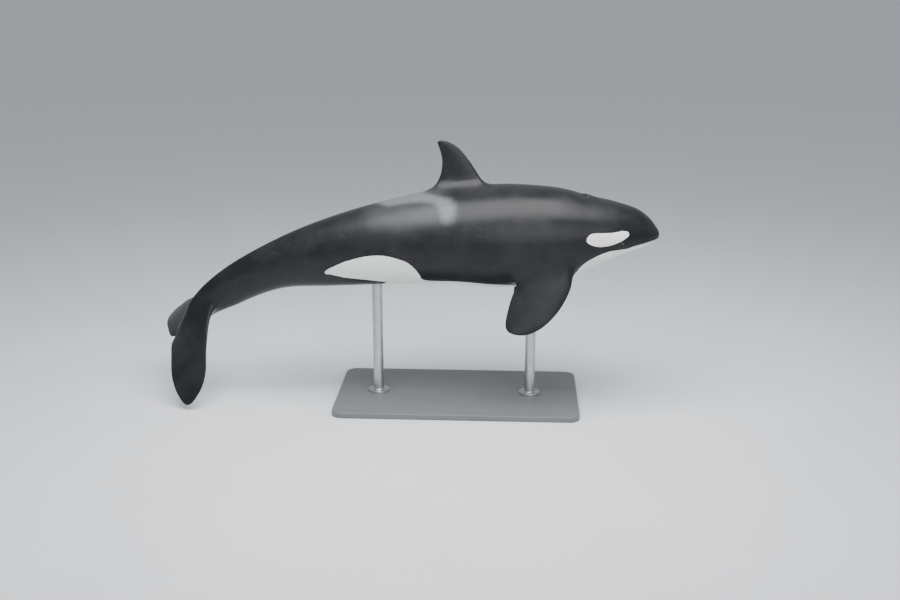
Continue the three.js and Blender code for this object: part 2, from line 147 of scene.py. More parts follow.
# The navel and the slits: "at" is a share of the body's length, and the rest is in metres, "long" being
# half the length. The rims on both sides are sized as shares of the depth and the width.
BELLY_MARKS = [
    {"at": 0.455, "aside": 0.0, "long": 0.03, "wide": 0.012, "deep": 0.006},
    {"at": 0.6, "aside": 0.0, "long": 0.1, "wide": 0.007, "deep": 0.012},
    {"at": 0.603, "aside": 0.055, "long": 0.035, "wide": 0.005, "deep": 0.007},
    {"at": 0.603, "aside": -0.055, "long": 0.035, "wide": 0.005, "deep": 0.007},
    {"at": 0.633, "aside": 0.0, "long": 0.025, "wide": 0.008, "deep": 0.012},
]
RIM_HEIGHT, RIM_ASIDE, RIM_WIDTH = 0.5, 2.2, 1.3

# Ridges, and grooves where the height is below 0: the height, how far off it lies and the width, in metres.
# The last two are multiples of the opening's own size for the lids and the folds of the eye.
MOUTH_GROOVE = (-0.012, 0.0, 0.0042)
UPPER_LIP, LOWER_LIP, UNDER_LIP = (0.006, 0.02, 0.014), (0.003, 0.014, 0.009), (-0.0025, 0.036, 0.01)
CREASE, EAR_PIT = (-0.0022, 0.0, 0.006), (-0.006, 0.0, 0.004)
EYE_MOUND, EYE_SOCKET_DEPTH = (0.0065, 0.0, 0.085), 0.016
LIDS, FOLD_ABOVE = (0.006, 1.28, 0.34), (-0.0032, 2.05, 0.16)
FOLD_BELOW, FOLD_BEHIND = (-0.0024, 1.95, 0.16), (-0.0016, 2.8, 0.22)
BLOWHOLE_GROOVE, BLOWHOLE_RIM = (-0.014, 0.0, 0.0045), (0.006, 0.015, 0.011)
BLOWHOLE_PLUG, BLOWHOLE_DIP = (0.004, 0.0, 0.035), (-0.003, 0.12, 0.05)
CORNER_CREASES = [  # wrinkles at the corner of the mouth, each through three places
    [(0.0655, -30), (0.071, -31.5), (0.077, -35)],
    [(0.064, -34), (0.068, -38), (0.071, -43)],
    [(0.069, -26), (0.075, -27), (0.081, -30)],
]

# Markings, each an outline of (share of the length, degrees above the widest line), the same on both sides.
EYE_PATCH = [
    (0.06, 13), (0.0635, 16.5), (0.073, 17.5), (0.0825, 16), (0.0955, 14.5), (0.114, 14),
    (0.1275, 13.5), (0.1345, 10.5), (0.1385, 6), (0.1375, 2), (0.132, -2), (0.124, -5.5),
    (0.113, -8.5), (0.101, -9.5), (0.091, -8), (0.082, -4.5), (0.073, 0), (0.067, 3.5), (0.0615, 7.5),
]
WHITE_UNDERSIDE = [
    (0.0047, -104), (0.0046, -92), (0.0053, -72), (0.008, -51), (0.0135, -37.5), (0.0285, -29.5),
    (0.047, -28), (0.06, -30), (0.072, -29.5), (0.083, -26.5), (0.095, -25), (0.107, -26), (0.118, -28.5),
    (0.13, -32.5), (0.15, -41.5), (0.164, -50), (0.19, -60.5), (0.235, -65), (0.28, -60), (0.3165, -56.5),
    (0.354, -54.5), (0.3925, -55), (0.428, -54.5), (0.4445, -49), (0.4475, -39), (0.454, -26.5),
    (0.467, -16), (0.484, -10.5), (0.503, -5.5), (0.526, -3), (0.551, -3.5), (0.574, -5.5), (0.5945, -8.5),
    (0.617, -13.5), (0.63, -19), (0.6305, -22.5), (0.617, -26.5), (0.599, -34), (0.576, -40.5),
    (0.554, -46), (0.535, -51), (0.517, -58), (0.527, -67), (0.575, -73), (0.63, -77), (0.655, -83),
    (0.66, -95), (0.64, -104), (0.3, -106),
]
SADDLE = [
    (0.384, 64), (0.372, 51), (0.3725, 39), (0.38, 30), (0.397, 26), (0.43, 24), (0.463, 22),
    (0.493, 25), (0.522, 34), (0.54, 46), (0.548, 58), (0.54, 72), (0.52, 85), (0.5, 100),
    (0.42, 100), (0.39, 84),
]
SADDLE_HOOK = [
    (0.428, 84), (0.4, 68), (0.384, 61.5), (0.375, 51), (0.375, 38), (0.383, 30.5), (0.395, 31.5),
    (0.402, 41), (0.4055, 51), (0.4215, 59), (0.45, 64), (0.473, 65.5), (0.495, 68), (0.51, 80),
    (0.51, 100), (0.43, 100),
]


def smooth_step(low, high, x):
    """0 up to low, 1 from high on, and smooth between."""
    t = np.clip((np.asarray(x, float) - low) / (high - low), 0, 1)
    return t * t * (3 - 2 * t)


def monotone(keys, values, x):
    """A curve through (keys, values) that never overshoots them, at each x."""
    keys, values = np.asarray(keys, float), np.asarray(values, float)
    steps = np.diff(keys)
    slopes = np.diff(values) / steps
    before, after = slopes[:-1], slopes[1:]
    w_before, w_after = 2 * steps[1:] + steps[:-1], steps[1:] + 2 * steps[:-1]
    level = before * after <= 0
    with np.errstate(divide="ignore", invalid="ignore"):
        inner = (w_before + w_after) / (w_before / before + w_after / after)
    tangents = np.concatenate([slopes[:1], np.where(level, 0, inner), slopes[-1:]])
    x = np.clip(x, keys[0], keys[-1])
    i = np.clip(np.searchsorted(keys, x, side="right") - 1, 0, len(steps) - 1)
    t = (x - keys[i]) / steps[i]
    ease = t * t * (3 - 2 * t)
    bend_in = steps[i] * t * (1 - t) * ((1 - t) * tangents[i] - t * tangents[i + 1])
    return values[i] * (1 - ease) + values[i + 1] * ease + bend_in


def spline(points, t, beyond=None):
    """A smooth curve through points, for t from 0 to 1. Past its end it would go on to the point beyond."""
    points = np.asarray(points, float)
    last = len(points) - 1
    place = np.clip(t, 0, 1) * last
    i = np.minimum(place.astype(int), last - 1)
    w = (place - i)[:, None]
    followed = np.concatenate([points, [points[-1] if beyond is None else beyond]])
    p0, p1 = points[np.maximum(i - 1, 0)], points[i]
    p2, p3 = points[i + 1], followed[i + 2]
    v1, v2 = (p2 - p0) / 2, (p3 - p1) / 2
    return (2 * p1 - 2 * p2 + v1 + v2) * w**3 + (-3 * p1 + 3 * p2 - 2 * v1 - v2) * w**2 + v1 * w + p1


def unit(v):
    return v / np.maximum(np.linalg.norm(v, axis=-1, keepdims=True), 1e-12)


# The spine

SPINE_STEP, SPINE_END = 0.005, 1.05


def tailwards(pitch):
    """The spine's direction, towards the tail."""
    return np.stack([-np.cos(pitch), 0 * pitch, -np.sin(pitch)], 1)


def make_spine():
    s = np.arange(0, SPINE_END * LENGTH + SPINE_STEP, SPINE_STEP)
    pitch = np.radians(monotone(PITCH_AT, PITCH_DEG, s / LENGTH))
    points = np.concatenate([np.zeros((1, 3)), np.cumsum(tailwards(pitch) * SPINE_STEP, 0)])
    return s, pitch, points[: len(s)]


SPINE_S, SPINE_PITCH, SPINE_POINTS = make_spine()


def bend(p):
    """Lays points of the straight animal along the curved spine."""
    s = np.clip(-p[:, 0], 0, SPINE_S[-1])
    pitch = np.interp(s, SPINE_S, SPINE_PITCH)
    middle = np.stack([np.interp(s, SPINE_S, SPINE_POINTS[:, k]) for k in range(3)], 1)
    roll = math.radians(ROLL_DEG) * smooth_step(ROLL_FROM, ROLL_TO, s / LENGTH)
    up = np.stack([-np.sin(pitch), 0 * s, np.cos(pitch)], 1)
    left = np.array([[0.0, 1.0, 0.0]])
    cos, sin = np.cos(roll)[:, None], np.sin(roll)[:, None]
    on = middle + tailwards(pitch) * (-p[:, 0] - s)[:, None]
    return on + (left * cos + up * sin) * p[:, 1:2] + (up * cos - left * sin) * p[:, 2:3]


# The plain body

OUTLINE_KEYS = np.sqrt(OUTLINE[:, 0])


def outline(at, column):
    return monotone(OUTLINE_KEYS, OUTLINE[:, column], np.sqrt(np.clip(at, 0, None)))


def section_power(at, s):
    """The power of the section's cosine: over 1 it has keels above and below, under 1 it is full."""
    keel = smooth_step(KEEL_FROM, KEEL_FULL, at) * (1 - smooth_step(KEEL_FADES, KEEL_GONE, at))
    jowl = (1 - smooth_step(JOWL_FULL, JOWL_GONE, at)) * (1 - smooth_step(-0.2, 0.5, s))
    return 1 + KEEL_SHARPNESS * keel - JOWL_FULLNESS * jowl


def body_points(at, around):
    """Points of the plain body. around is 0 at its left side and 90 degrees at the back."""
    at, around = np.broadcast_arrays(np.asarray(at, float), np.asarray(around, float))
    c, s = np.cos(around), np.sin(around)
    across = np.sign(c) * np.abs(c) ** section_power(at, s)
    height = np.where(s > 0, outline(at, BACK), outline(at, BELLY))
    return LENGTH * np.stack([-at, outline(at, HALF) * across, height * s], -1)


def body_normals(at, around):
    step = 0.0005
    ahead = np.maximum(at - step, 1e-6)
    lengthwise = body_points(at + step, around) - body_points(ahead, around)
    roundwise = body_points(at, around + step) - body_points(at, around - step)
    return unit(np.cross(lengthwise, roundwise))


def on_skin(at, around):
    """A place on the plain skin: its point, forward, up (or left, on the back) and out."""
    out = body_normals(np.array([at]), np.array([around]))[0]
    forward = unit(np.array([1.0, 0.0, 0.0]) - out[0] * out)
    side = np.cross(out, forward)
    if abs(out[2]) < 0.7 and side[2] < 0:
        side = -side
    return body_points(np.array([at]), np.array([around]))[0], forward, side, out


def side_angle(angle, side):
    return angle if side == LEFT else math.pi - angle


# Relief of the skin: how far each point is moved out of the plain body

def hump(d, width):
    return np.exp(-((d / width) ** 2))


def ridge(d, form):
    """The height of a ridge or a groove at the distance d."""
    height, off, width = form
    return height * hump(d - off, width)


def mouth_line():
    """Points along the mouth, round the snout, with their shares of the way from its front to a corner."""
    t = np.linspace(-1, 1, MOUTH_POINTS)
    at = MOUTH_FRONT + (MOUTH_CORNER - MOUTH_FRONT) * (1 - np.cos(t * math.pi / 2))
    share = (at - MOUTH_FRONT) / (MOUTH_CORNER - MOUTH_FRONT)
    start = outline(np.array([MOUTH_FRONT]), BELLY)[0]
    down = start + (MOUTH_CORNER_DOWN - start) * share**1.3
    sine = np.minimum(down / outline(at, BELLY), 1)
    around = np.where(t < 0, -np.arcsin(sine), np.arcsin(sine) - math.pi)
    return body_points(at, around), np.abs(t)


MOUTH_LINE, MOUTH_SHARE = mouth_line()


def nearest(points, others, reach):
    """For each point within reach of the others: its distance to the nearest one, and that one's number."""
    tree = KDTree(len(others))
    for i, p in enumerate(others):
        tree.insert(p, i)
    tree.balance()
    low, high = others.min(0) - reach, others.max(0) + reach
    distance, index = np.full(len(points), np.inf), np.zeros(len(points), int)
    for i in np.nonzero(((points > low) & (points < high)).all(1))[0]:
        _, index[i], distance[i] = tree.find(points[i])
    return distance, index


def distance_to(points, at, around):
    return np.linalg.norm(points - on_skin(at, around)[0], axis=1)


def mouth_relief(points):
    d, i = nearest(points, MOUTH_LINE, 0.08)
    on_lower_jaw = points[:, 2] <= MOUTH_LINE[i, 2]
    lips = np.where(on_lower_jaw, ridge(d, LOWER_LIP) + ridge(d, UNDER_LIP), ridge(d, UPPER_LIP))
    return (ridge(d, MOUTH_GROOVE) + lips) * (1 - smooth_step(0.93, 1.0, MOUTH_SHARE[i]))


def crease_relief(points, ends):
    """A soft crease along a smooth curve through ends, and the same on the right side."""
    steps = 59
    at, degrees = spline(ends, np.linspace(0, 1, steps + 1)).T
    total = np.zeros(len(points))
    for side in SIDES:
        path = body_points(at, side_angle(np.radians(degrees), side))
        d, i = nearest(points, path, 4 * CREASE[2])
        total += ridge(d, CREASE) * np.sin(math.pi * i / steps) ** 0.5
    return total


def eye_relief(points):
    total = np.zeros(len(points))
    cos, sin = math.cos(EYE_TILT), math.sin(EYE_TILT)
    long, high = EYE_SLIT
    for side in SIDES:
        origin, forward, up, _ = on_skin(EYE_AT, side_angle(EYE_ANGLE, side))
        d = points - origin
        x, y = d @ forward, d @ up
        along, over = (x * cos + y * sin) / long, (y * cos - x * sin) / high
        r = np.hypot(along, over / np.where(over > 0, 1, LOWER_LID_SHARE))
        above, behind = over / r, -along / r
        forms = ridge(r, LIDS) * smooth_step(0.9, 1.15, r)
        forms -= EYE_SOCKET_DEPTH * (1 - smooth_step(0.72, 1.08, r))
        forms += ridge(r, FOLD_ABOVE) * smooth_step(-0.2, 0.5, above)
        forms += ridge(r, FOLD_BELOW) * smooth_step(0.1, 0.6, -above)
        forms += ridge(r, FOLD_BEHIND) * smooth_step(-0.2, 0.6, behind)
        near = np.linalg.norm(d, axis=1)
        total += (forms + ridge(near, EYE_MOUND)) * (1 - smooth_step(0.13, 0.19, near))
    return total


def blowhole_relief(points):
    origin, forward, left, _ = on_skin(BLOWHOLE_AT, math.pi / 2)
    d = points - origin
    x, y = d @ forward, d @ left
    near = np.hypot(x, y)
    turn = np.minimum(np.abs(np.arctan2(y, -x)), BLOWHOLE_HALF_ARC)
    end_x, end_y = -BLOWHOLE_RADIUS * np.cos(turn), BLOWHOLE_RADIUS * np.sin(turn)
    arc = np.hypot(x - end_x, np.abs(y) - end_y)
    forms = ridge(arc, BLOWHOLE_GROOVE) + ridge(arc, BLOWHOLE_RIM)
    forms += ridge(near, BLOWHOLE_PLUG) + ridge(near, BLOWHOLE_DIP)
    on_back = d[:, 2] > -0.1
    return forms * (1 - smooth_step(0.19, 0.25, near)) * on_back


def belly_relief(points):
    total = np.zeros(len(points))
    for mark in BELLY_MARKS:
        x = points[:, 0] + mark["at"] * LENGTH
        y = points[:, 1] - mark["aside"]
        rim = hump(np.abs(y) - RIM_ASIDE * mark["wide"], RIM_WIDTH * mark["wide"])
        shape = RIM_HEIGHT * rim - hump(y, mark["wide"])
        taper = np.clip(1 - (x / mark["long"]) ** 2, 0, 1)
        total += mark["deep"] * shape * taper * (points[:, 2] < 0)
    return total


def ear_relief(points):
    return sum(ridge(distance_to(points, EAR_AT, side_angle(EAR_ANGLE, side)), EAR_PIT) for side in SIDES)


def relief(points):
    total = mouth_relief(points) + eye_relief(points) + blowhole_relief(points)
    total += belly_relief(points) + ear_relief(points)
    return total + sum(crease_relief(points, ends) for ends in CORNER_CREASES)


# The mesh of the body: a sheet over (place of a ring, angle), cut finer at the relief and rolled up

SHEET_RINGS, SHEET_SIDES = 150, 96
CROWDED_AT_ENDS, CROWDED_AT_SNOUT = 0.8, 1.5
CUTTING_ROUNDS, CUT_FROM = 7, 1.45  # an edge is cut when it is so many times too long
PLAIN_SIZE, HEAD_SIZE, ROOT_SIZE, SLIT_SIZE = 0.03, 0.016, 0.015, 0.006  # length of an edge
HEAD_TO, PLAIN_FROM = 0.13, 0.2
DORSAL_FROM, DORSAL_TO, DORSAL_REACH = 0.29, 0.455, 0.16  # of the fins' roots
FLIPPER_REACH, FLUKE_ROOT_FROM = 0.36, 0.84
FINE_NEAR = {  # how near to a feature, and how long an edge may be there
    "mouth": [(0.055, 0.008), (0.03, 0.005), (0.012, 0.0028)],
    "eye": [(0.12, 0.007), (0.052, 0.0026)],
    "ear": [(0.012, 0.0025)],
    "blowhole": [(0.13, 0.008), (0.085, 0.0035)],
}
SAME_PLACE = 2e-5  # points nearer than this become one, where the sheet closes


def ring_at(v):
    """Where a ring lies, for v from 0 to 1: close together at both ends, most of all at the snout."""
    crowded = v - CROWDED_AT_ENDS * np.sin(2 * math.pi * v) / (2 * math.pi)
    return BODY_END * np.clip(crowded, 0, 1) ** CROWDED_AT_SNOUT


def vertex_points(bm):
    return np.array([v.co[:] for v in bm.verts])


def finer(size, distance, name):
    for near, edge in FINE_NEAR[name]:
        size = np.where(distance < near, np.minimum(size, edge), size)
    return size


def wanted_size(points):
    """How long an edge may be at each point."""
    s = -points[:, 0] / LENGTH
    size = HEAD_SIZE + (PLAIN_SIZE - HEAD_SIZE) * smooth_step(HEAD_TO, PLAIN_FROM, s)
    near_middle = (np.abs(points[:, 1]) < DORSAL_REACH) & (points[:, 2] > 0)
    near_dorsal = (s > DORSAL_FROM) & (s < DORSAL_TO) & near_middle
    to_left, to_right = [np.linalg.norm(points - shoulder(side) * LENGTH, axis=1) for side in SIDES]
    near_root = near_dorsal | (np.minimum(to_left, to_right) < FLIPPER_REACH) | (s > FLUKE_ROOT_FROM)
    size = np.where(near_root, np.minimum(size, ROOT_SIZE), size)
    size = finer(size, nearest(points, MOUTH_LINE, 0.07)[0], "mouth")
    for side in SIDES:
        size = finer(size, distance_to(points, EYE_AT, side_angle(EYE_ANGLE, side)), "eye")
        size = finer(size, distance_to(points, EAR_AT, side_angle(EAR_ANGLE, side)), "ear")
    size = finer(size, distance_to(points, BLOWHOLE_AT, math.pi / 2), "blowhole")
    for mark in BELLY_MARKS:
        x = np.abs(points[:, 0] + mark["at"] * LENGTH)
        y = np.abs(points[:, 1] - mark["aside"])
        inside = (x < mark["long"] + 0.01) & (y < 5 * mark["wide"]) & (points[:, 2] < 0)
        size = np.where(inside, np.minimum(size, SLIT_SIZE), size)
    return size


def sheet_points(flat):
    at = ring_at(flat[:, 0])
    return body_points(at, flat[:, 1]), at


def body_mesh():
    bm = bmesh.new()
    rows = np.linspace(0, 1, SHEET_RINGS + 1)
    angles = np.linspace(-math.pi / 2, 1.5 * math.pi, SHEET_SIDES + 1)
    grid = [[bm.verts.new((v, angle, 0)) for angle in angles] for v in rows]
    for a, b in zip(grid, grid[1:]):
        for k in range(SHEET_SIDES):
            bm.faces.new((a[k], a[k + 1], b[k + 1], b[k]))
    for _ in range(CUTTING_ROUNDS):
        bm.verts.index_update()
        points, _ = sheet_points(vertex_points(bm))
        ends = np.array([(e.verts[0].index, e.verts[1].index) for e in bm.edges])
        lengths = np.linalg.norm(points[ends[:, 0]] - points[ends[:, 1]], axis=1)
        too_long = lengths > CUT_FROM * wanted_size(points[ends].mean(1))
        cut = [e for e, is_long in zip(bm.edges, too_long) if is_long]
        if not cut:
            break
        bmesh.ops.subdivide_edges(bm, edges=cut, cuts=1, use_grid_fill=True)
    flat = vertex_points(bm)
    points, at = sheet_points(flat)
    out = body_normals(at, flat[:, 1])
    ends = (flat[:, 0] <= 0) | (flat[:, 0] >= 1)
    moved = points + out * np.where(ends, 0, relief(points))[:, None]
    for v, p in zip(bm.verts, moved):
        v.co = p
    bmesh.ops.remove_doubles(bm, verts=bm.verts, dist=SAME_PLACE)
    bmesh.ops.triangulate(bm, faces=bm.faces)
    bmesh.ops.recalc_face_normals(bm, faces=bm.faces)
    return bm


# Fins

FIN_RINGS, FLUKE_RINGS, FIN_SIDES = 64, 72, 84
CROWDED_AT_TIP = 1.4  # the rings lie closer together towards the tip
BLUNT_FRONT, ROUND_BACK = 1.225, 0.06  # together they make a section with a thickness of 1


def section_shape(u):
    """Half the thickness of a section, from its front at u = 0 to its back at u = 1."""
    return BLUNT_FRONT * np.sqrt(u) * (1 - u) + ROUND_BACK * np.sqrt(u * (1 - u))


def fin_rings(shape, place, rings):
    """The rings of a fin from its root to its round tip, each a closed section, and the point of the tip."""
    lead, trail = shape["lead"], shape["trail"]
    rows = []
    turn = np.arange(FIN_SIDES) / FIN_SIDES
    chord = (1 - np.cos(2 * math.pi * turn)) / 2
    face = np.sign(0.5 - turn) * section_shape(chord)
    for k in range(rings):
        out = 1 - (1 - k / rings) ** CROWDED_AT_TIP
        front = spline(lead, np.array([out]), trail[-2])[0]
        back = spline(trail, np.array([out]), lead[-2])[0]
        width = np.linalg.norm(back - front)
        thinned = shape["root"] + (shape["tip"] - shape["root"]) * math.sin(out * math.pi / 2)
        thick = min(thinned, FIN_TIP_FULLNESS * width)
        plan = front + (back - front) * chord[:, None]
        rows.append(place(plan[:, 0], plan[:, 1], face * thick))
    tip = np.asarray(lead[-1], float)[None]
    return rows, place(tip[:, 0], tip[:, 1], np.zeros(1))[0]


def loft(rows, start=None, end=None):
    """Closed rings joined into a tube, each end closed at a point or by a flat face."""
    bm = bmesh.new()
    made = [[bm.verts.new(p) for p in row] for row in rows]
    n = len(made[0])
    for a, b in zip(made, made[1:]):
        for k in range(n):
            bm.faces.new((a[k], a[(k + 1) % n], b[(k + 1) % n], b[k]))
    for ring, point in ((made[0], start), (made[-1], end)):
        if point is None:
            bm.faces.new(ring)
            continue
        tip = bm.verts.new(point)
        for k in range(n):
            bm.faces.new((ring[k], ring[(k + 1) % n], tip))
    bmesh.ops.recalc_face_normals(bm, faces=bm.faces)
    return bm


def fin_mesh(shape, place):
    rows, tip = fin_rings(shape, place, FIN_RINGS)
    return loft(rows, end=tip)


def dorsal_mesh():
    return fin_mesh(DORSAL, lambda at, up, thick: LENGTH * np.stack([-at, thick, up], 1))


def shoulder(side):
    return np.array([-SHOULDER_AT, side * SHOULDER_OUT, -SHOULDER_DOWN])


def flipper_mesh(side):
    span = unit(FLIPPER_SPAN[side])
    chord = unit(np.array([1.0, 0, 0]) - span[0] * span)
    face = np.cross(span, chord)

    def place(along, across, thick):
        flat = shoulder(side) + np.outer(along, span) + np.outer(across, chord) + np.outer(thick, face)
        return LENGTH * flat

    return fin_mesh(FLIPPER, place)


def fluke_sag(across):
    return FLUKE_DROOP * (across / FLUKE_HALF_SPAN) ** 2


def flukes_mesh():
    """Both flukes in one mesh, from tip to tip."""
    def fluke(side):
        def place(at, across, thick):
            return LENGTH * np.stack([-at, side * across, thick - fluke_sag(across)], 1)

        return fin_rings(FLUKE, place, FLUKE_RINGS)

    left, left_tip = fluke(LEFT)
    right, right_tip = fluke(RIGHT)
    return loft(left[::-1] + right[1:], start=left_tip, end=right_tip)


# Objects

def placed(name, data):
    obj = bpy.data.objects.new(name, data)
    bpy.context.scene.collection.objects.link(obj)
    return obj


def smooth_mesh(name, bm):
    for face in bm.faces:
        face.smooth = True
    mesh = bpy.data.meshes.new(name)
    bm.to_mesh(mesh)
    bm.free()
    return mesh


def mesh_object(name, bm, material, smooth_angle=35):
    """The mesh as an object, with sharp edges where faces meet at more than the angle, in degrees."""
    for edge in bm.edges:
        edge.smooth = len(edge.link_faces) == 2 and edge.calc_face_angle() < math.radians(smooth_angle)
    mesh = smooth_mesh(name, bm)
    mesh.materials.append(material)
    return placed(name, mesh)


def write_vectors(mesh, name, vectors):
    attribute = mesh.attributes.new(name, "FLOAT_VECTOR", "POINT")
    attribute.data.foreach_set("vector", vectors.astype(np.float32).ravel())


def lay_along_spine(mesh, co, shift):
    mesh.vertices.foreach_set("co", (bend(co) + shift).ravel())
    mesh.update()


# Joining the body and the fins

HOLLOW_REACH = {"dorsal": 0.14, "flipper": 0.13, "flukes": 0.1}
HOLLOW_FULLNESS = 0.44
BEHIND_REACH = 0.3  # of the reach: a surface further behind this one doesn't swell it
EDGE_BLUR = 0.02  # an edge of the other surface swells this one only so near to it


def swelling(bm, other, reach):
    """How far each vertex has to move outwards for the two surfaces to meet in a round hollow."""
    tree = BVHTree.FromBMesh(other)
    other_points = vertex_points(other)
    low, high = other_points.min(0) - reach, other_points.max(0) + reach
    points = vertex_points(bm)
    steps = np.zeros_like(points)
    for i in np.nonzero(((points > low) & (points < high)).all(1))[0]:
        v = bm.verts[i]
        place, normal, _, distance = tree.find_nearest(v.co, reach)
        if place is None:
            continue
        inside = (v.co - place).dot(normal) < 0
        near = (1 - distance / reach) ** (1 if inside else 3)
        corner = min(max(1 - v.normal.dot(normal), 0), 1)
        behind = min(max(1 + (place - v.co).dot(v.normal) / (BEHIND_REACH * reach), 0), 1)
        facing = (abs((v.co - place).dot(normal)) + EDGE_BLUR) / (distance + EDGE_BLUR)
        steps[i] = v.normal * (HOLLOW_FULLNESS * reach * near * corner * behind * facing)
    return steps


def swell_roots(body, fins):
    """Hollows out the corners between the body and each fin, before they are joined."""
    for bm in [body, *fins.values()]:
        bm.verts.ensure_lookup_table()
        bm.normal_update()
    moves = []
    for name, fin in fins.items():
        reach = HOLLOW_REACH[name.split("_")[0]]
        moves += [(body, swelling(body, fin, reach)), (fin, swelling(fin, body, reach))]
    for bm, steps in moves:
        for v, step in zip(bm.verts, steps):
            v.co += Vector(step)


def as_object(name, bm, origin_slot):
    """An object whose faces still tell, once it is joined, whether they come from the body or a fin."""
    for face in bm.faces:
        face.material_index = origin_slot
    mesh = smooth_mesh(name, bm)
    for label in ("from_body", "from_fin"):
        mesh.materials.append(bpy.data.materials.get(label) or bpy.data.materials.new(label))
    return placed(name, mesh)


def united(body, fins):
    for fin in fins:
        modifier = body.modifiers.new("join", "BOOLEAN")
        modifier.operation = "UNION"
        modifier.solver = "MANIFOLD"
        modifier.object = fin
    graph = bpy.context.evaluated_depsgraph_get()
    mesh = bpy.data.meshes.new_from_object(body.evaluated_get(graph))
    for obj in [body, *fins]:
        bpy.data.objects.remove(obj)
    return mesh


def edge_ends(mesh):
    ends = np.empty(len(mesh.edges) * 2, int)
    mesh.edges.foreach_get("vertices", ends)
    return ends.reshape(-1, 2)


def coordinates(mesh):
    co = np.empty(len(mesh.vertices) * 3)
    mesh.vertices.foreach_get("co", co)
    return co.reshape(-1, 3)


def neighbour_mean(values, ends, count):
    total = np.zeros_like(values)
    np.add.at(total, ends[:, 0], values[ends[:, 1]])
    np.add.at(total, ends[:, 1], values[ends[:, 0]])
    return total / np.maximum(count, 1)[:, None]


SEAM_PASSES = ((0.06, 60), (0.14, 30))  # how far from the seam, and how many rounds of smoothing
SMOOTHING = 0.6  # the part of the way to its neighbours' middle that a vertex moves in a round
SHORTEST_EDGE = 0.0045  # near the seam
CLEANING_ROUNDS = 18


def seam_vertices(bm):
    return [v for v in bm.verts if len({f.material_index for f in v.link_faces}) > 1]


def beside(v):
    return {e.other_vert(v) for e in v.link_edges}


def spare_edges(bm):
    """Short edges near the seam, well apart, that can shrink to a point and leave the skin closed."""
    bm.edges.index_update()
    near = set(seam_vertices(bm))
    for _ in range(2):
        near |= {w for v in near for w in beside(v)}
    short = {e for v in near for e in v.link_edges if e.calc_length() < SHORTEST_EDGE}
    spare, taken = [], set()
    for edge in sorted(short, key=lambda e: (e.calc_length(), e.index)):
        a, b = beside(edge.verts[0]), beside(edge.verts[1])
        if len(a & b) == 2 and not (a | b) & taken:
            spare.append(edge)
            taken |= a | b
    return spare


def clean_seams(mesh):
    """Takes away the short edges that the joining leaves, and says which vertices lie on a seam."""
    bm = bmesh.new()
    bm.from_mesh(mesh)
    bmesh.ops.triangulate(bm, faces=bm.faces)
    for _ in range(CLEANING_ROUNDS):
        spare = spare_edges(bm)
        if not spare:
            break
        bmesh.ops.collapse(bm, edges=spare)
    bm.faces.index_update()
    bm.edges.index_update()
    around = {f for v in seam_vertices(bm) for f in v.link_faces}
    edges = {e for f in around for e in f.edges if all(g in around for g in e.link_faces)}
    faces, edges = [sorted(them, key=lambda it: it.index) for them in (around, edges)]
    bmesh.ops.beautify_fill(bm, faces=faces, edges=edges, method="ANGLE")
    bm.verts.index_update()
    on_seam = [v.index for v in seam_vertices(bm)]
    bm.to_mesh(mesh)
    bm.free()
    return np.array(on_seam)


def smooth_seams(mesh, seam):
    """Smooths the skin along the seams, less the further from them."""
    co = coordinates(mesh)
    d, _ = nearest(co, co[seam], max(reach for reach, _ in SEAM_PASSES))
    all_ends = edge_ends(mesh)
    for reach, rounds in SEAM_PASSES:
        weight = (1 - smooth_step(0.0, reach, d))[:, None]
        ends = all_ends[(weight[all_ends, 0] > 0).any(1)]
        count = np.bincount(ends.ravel(), minlength=len(co))
        for _ in range(rounds):
            co += weight * SMOOTHING * (neighbour_mean(co, ends, count) - co)
    mesh.vertices.foreach_set("co", co.ravel())
    return co


# Markings

CURVE_STEPS = 8  # from one corner of an outline to the next
LEAST_GIRTH = 0.02  # where the body ends, the skin is laid flat as if it were this thick


def signed_distance(points, corners):
    """How far inside a closed outline each point lies; negative outside."""
    a, b = corners, np.roll(corners, -1, axis=0)
    inside = np.zeros(len(points), bool)
    best = np.full(len(points), np.inf)
    for (ax, ay), (bx, by) in zip(a, b):
        d = np.array([bx - ax, by - ay])
        rel = points - [ax, ay]
        t = np.clip((rel @ d) / max(d @ d, 1e-12), 0, 1)
        best = np.minimum(best, np.linalg.norm(rel - t[:, None] * d, axis=1))
        crosses = (ay > points[:, 1]) != (by > points[:, 1])
        with np.errstate(divide="ignore", invalid="ignore"):
            x = ax + (points[:, 1] - ay) * (bx - ax) / (by - ay)
        inside ^= crosses & (points[:, 0] < x)
    return np.where(inside, best, -best)


def closed_curve(corners):
    corners = np.asarray(corners, float)
    n = len(corners)
    wrapped = np.concatenate([corners[-2:], corners, corners[:3]])
    t = np.linspace(2 / (n + 4), (n + 2) / (n + 4), n * CURVE_STEPS, endpoint=False)
    return spline(wrapped, t)


def unrolled(at, degrees):
    """The skin laid flat: along the body, and up from the widest line."""
    girth = (outline(at, BACK) + outline(at, BELLY) + 2 * outline(at, HALF)) / 4
    return LENGTH * np.stack([at, np.radians(degrees) * np.maximum(girth, LEAST_GIRTH)], 1)


def marking(flat, corners):
    curve = closed_curve(corners)
    return signed_distance(flat, unrolled(curve[:, 0], curve[:, 1]))


FLUKE_WHITE_FROM, FLUKE_BLACK_EDGE = 0.893, 0.034
FLUKE_WHITE_NOTCH, FLUKE_NOTCH_WIDTH = 0.024, 0.018
FLUKE_WHITE_DEPTH = 0.004  # how far below the fluke's middle the white begins
UNDERSIDE_TO, FLUKES_FROM = 0.7, 0.86  # the body has no white behind the first, up to the flukes
PLAIN_RELIEF = 0.012  # skin further than this above the plain body belongs to the root of a fin
OFF_BODY = 1.06  # and so does skin further out than this share of the plain body
WHITE_ENDS, GREY_ENDS = 2, 1.5  # how fast the markings end on the root of a fin
NO_WHITE = -0.3
MOUTH_NEAR = 0.1


